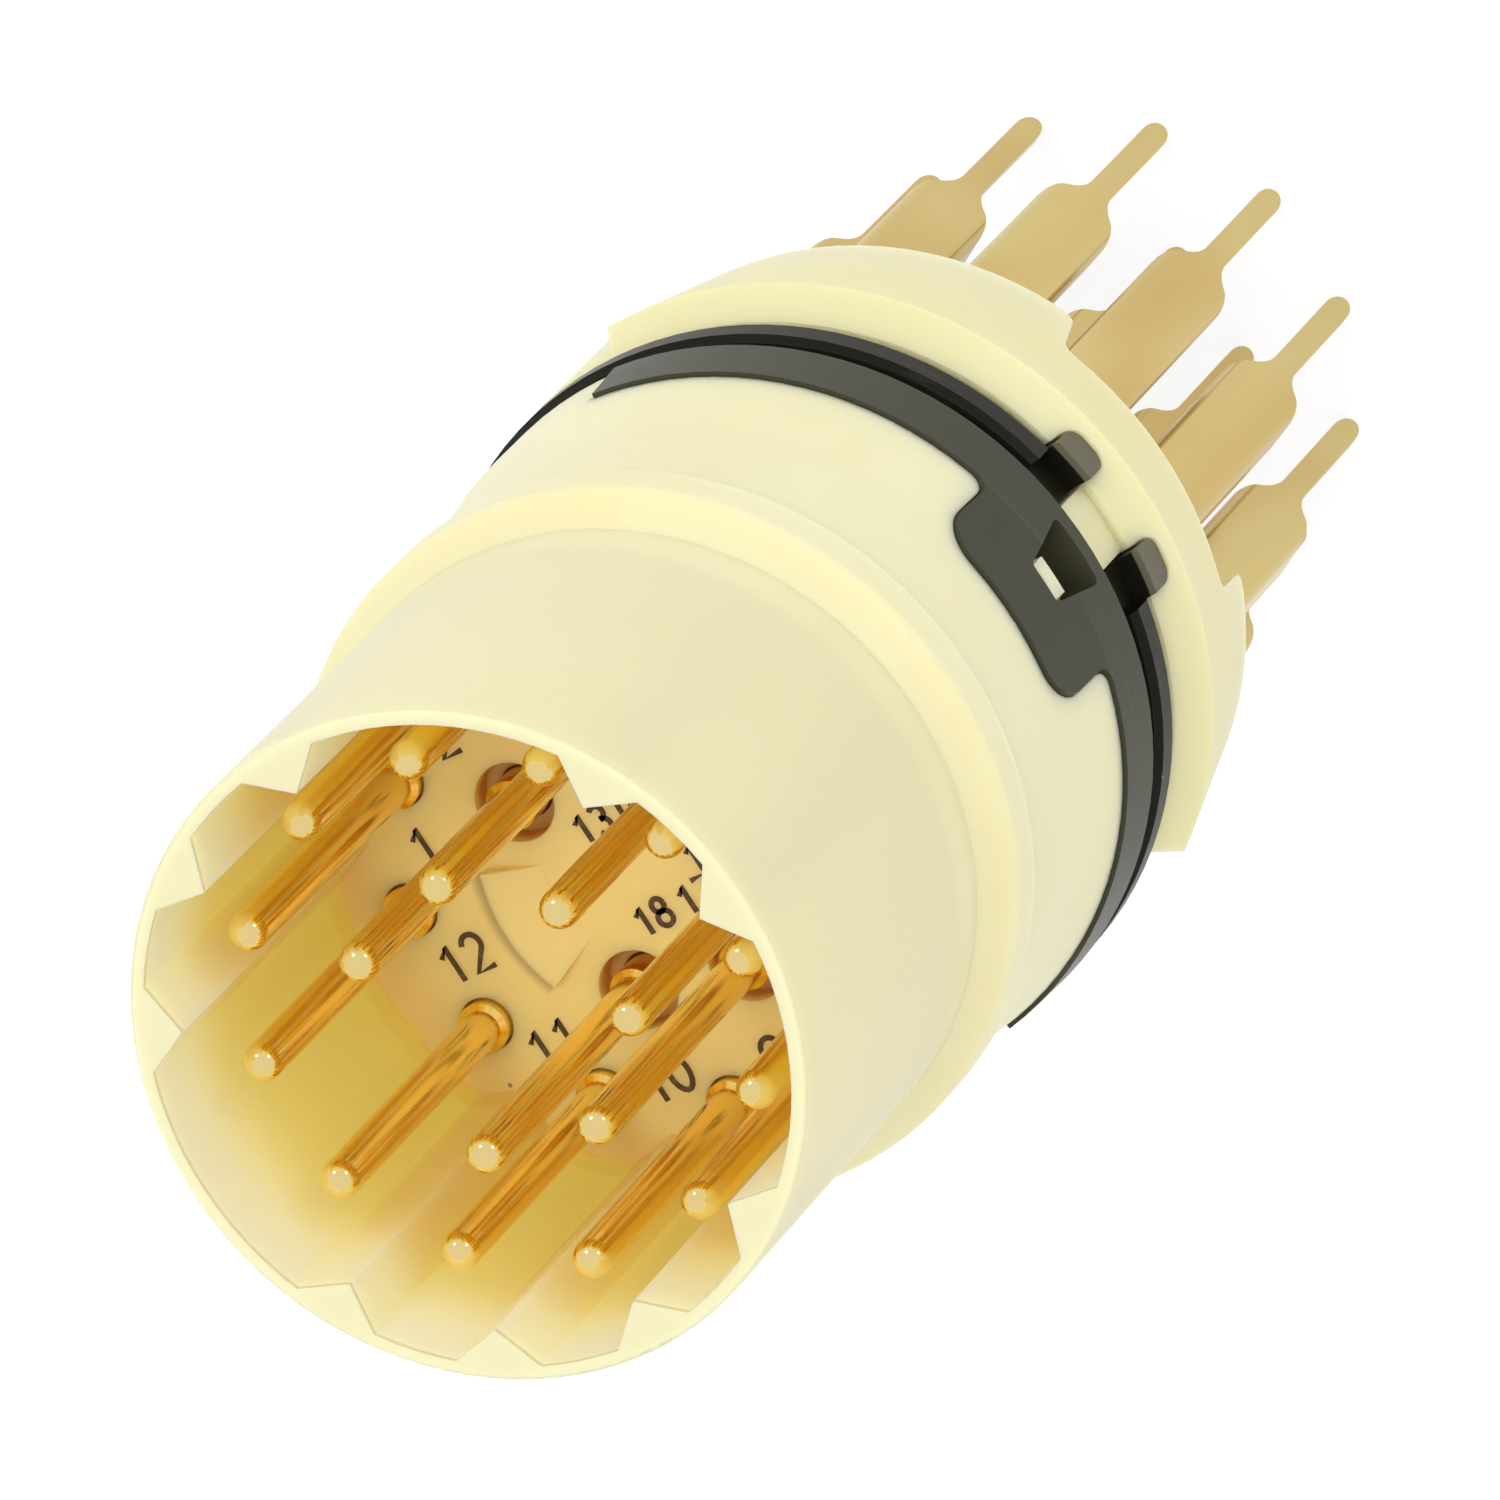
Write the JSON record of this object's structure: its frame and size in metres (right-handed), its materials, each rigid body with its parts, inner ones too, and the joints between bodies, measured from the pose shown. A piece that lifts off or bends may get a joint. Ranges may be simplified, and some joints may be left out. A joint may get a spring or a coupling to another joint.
{
  "type": "circular connector contact insert",
  "caption": "Round pin contact insert: ribbed mating collar, two-part insulator, keyed ring with a windowed tab, and turned pins ending in flat solder tails.",
  "frame": {"origin": "on the connector's axis, in the plane of the solder tail ends", "axes": "+Z along the axis toward the mating face, +Y toward the key tab, +X to the right of the key as seen on the mating face with the key up"},
  "size_m": [0.0199, 0.0199, 0.0468],
  "materials": {
    "front_insulator": "satin, cream, slightly translucent",
    "rear_retainer": "satin, cream",
    "keyed_ring": "satin, black",
    "contact": "gold plated"
  },
  "bodies": {
    "root": {"front_insulator": "front_insulator", "keyed_ring": "keyed_ring", "rear_retainer": "rear_retainer", "contact_01": "contact", "contact_02": "contact", "contact_03": "contact", "contact_04": "contact", "contact_05": "contact", "contact_06": "contact", "contact_07": "contact", "contact_08": "contact", "contact_09": "contact", "contact_10": "contact", "contact_11": "contact", "contact_12": "contact", "contact_13": "contact", "contact_14": "contact", "contact_15": "contact", "contact_16": "contact", "contact_17": "contact", "contact_18": "contact"}
  },
  "joints": []
}
